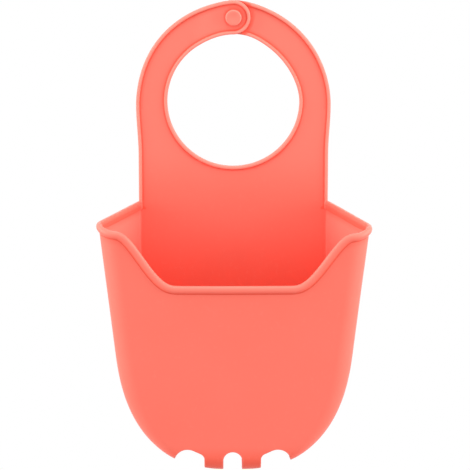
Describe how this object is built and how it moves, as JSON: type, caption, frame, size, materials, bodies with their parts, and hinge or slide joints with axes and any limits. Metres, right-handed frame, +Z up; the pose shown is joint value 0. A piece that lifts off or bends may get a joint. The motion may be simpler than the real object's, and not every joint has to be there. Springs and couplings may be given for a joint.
{
  "type": "hanging sink drainer pouch",
  "caption": "Soft hanging pouch with a scooped front, a slotted drain floor and a loop that snaps closed round a tap.",
  "frame": {"origin": "centre of the loop's round hole, on the flat back face", "axes": "+X to the right as seen from the front, +Y to the back, +Z up along the hanging strap"},
  "size_m": [0.1366, 0.068, 0.2303],
  "materials": {
    "silicone": "matte"
  },
  "bodies": {
    "pouch": {"back_panel": "silicone", "left_side_wall": "silicone", "right_side_wall": "silicone", "front_wall": "silicone", "drain_floor": "silicone", "rim_bead": "silicone"},
    "loop": {"neck_strip": "silicone", "loop_base": "silicone", "left_arm_root": "silicone", "right_arm_root": "silicone"},
    "left_arm": {"left_arm": "silicone", "left_tab": "silicone"},
    "right_arm": {"right_arm": "silicone", "right_tab": "silicone", "snap_knob": "silicone"}
  },
  "joints": [
    {"name": "neck_bend", "type": "hinge", "parent": "pouch", "child": "loop", "pos_m": [0, -0.0009, -0.0437], "axis": [-1, 0, 0], "range_deg": [-45, 90], "stiffness_Nm_per_rad": 0.0134, "deforming": ["neck_strip"]},
    {"name": "left_arm_open", "type": "hinge", "parent": "loop", "child": "left_arm", "pos_m": [-0.0415, -0.0009, 0.003], "axis": [1, 0, 0], "range_deg": [0, 75], "stiffness_Nm_per_rad": 0.0029, "deforming": ["left_arm_root", "snap_knob"]},
    {"name": "right_arm_open", "type": "hinge", "parent": "loop", "child": "right_arm", "pos_m": [0.0415, -0.0009, 0.003], "axis": [-1, 0, 0], "range_deg": [0, 75], "stiffness_Nm_per_rad": 0.0029, "deforming": ["right_arm_root", "snap_knob"]}
  ]
}
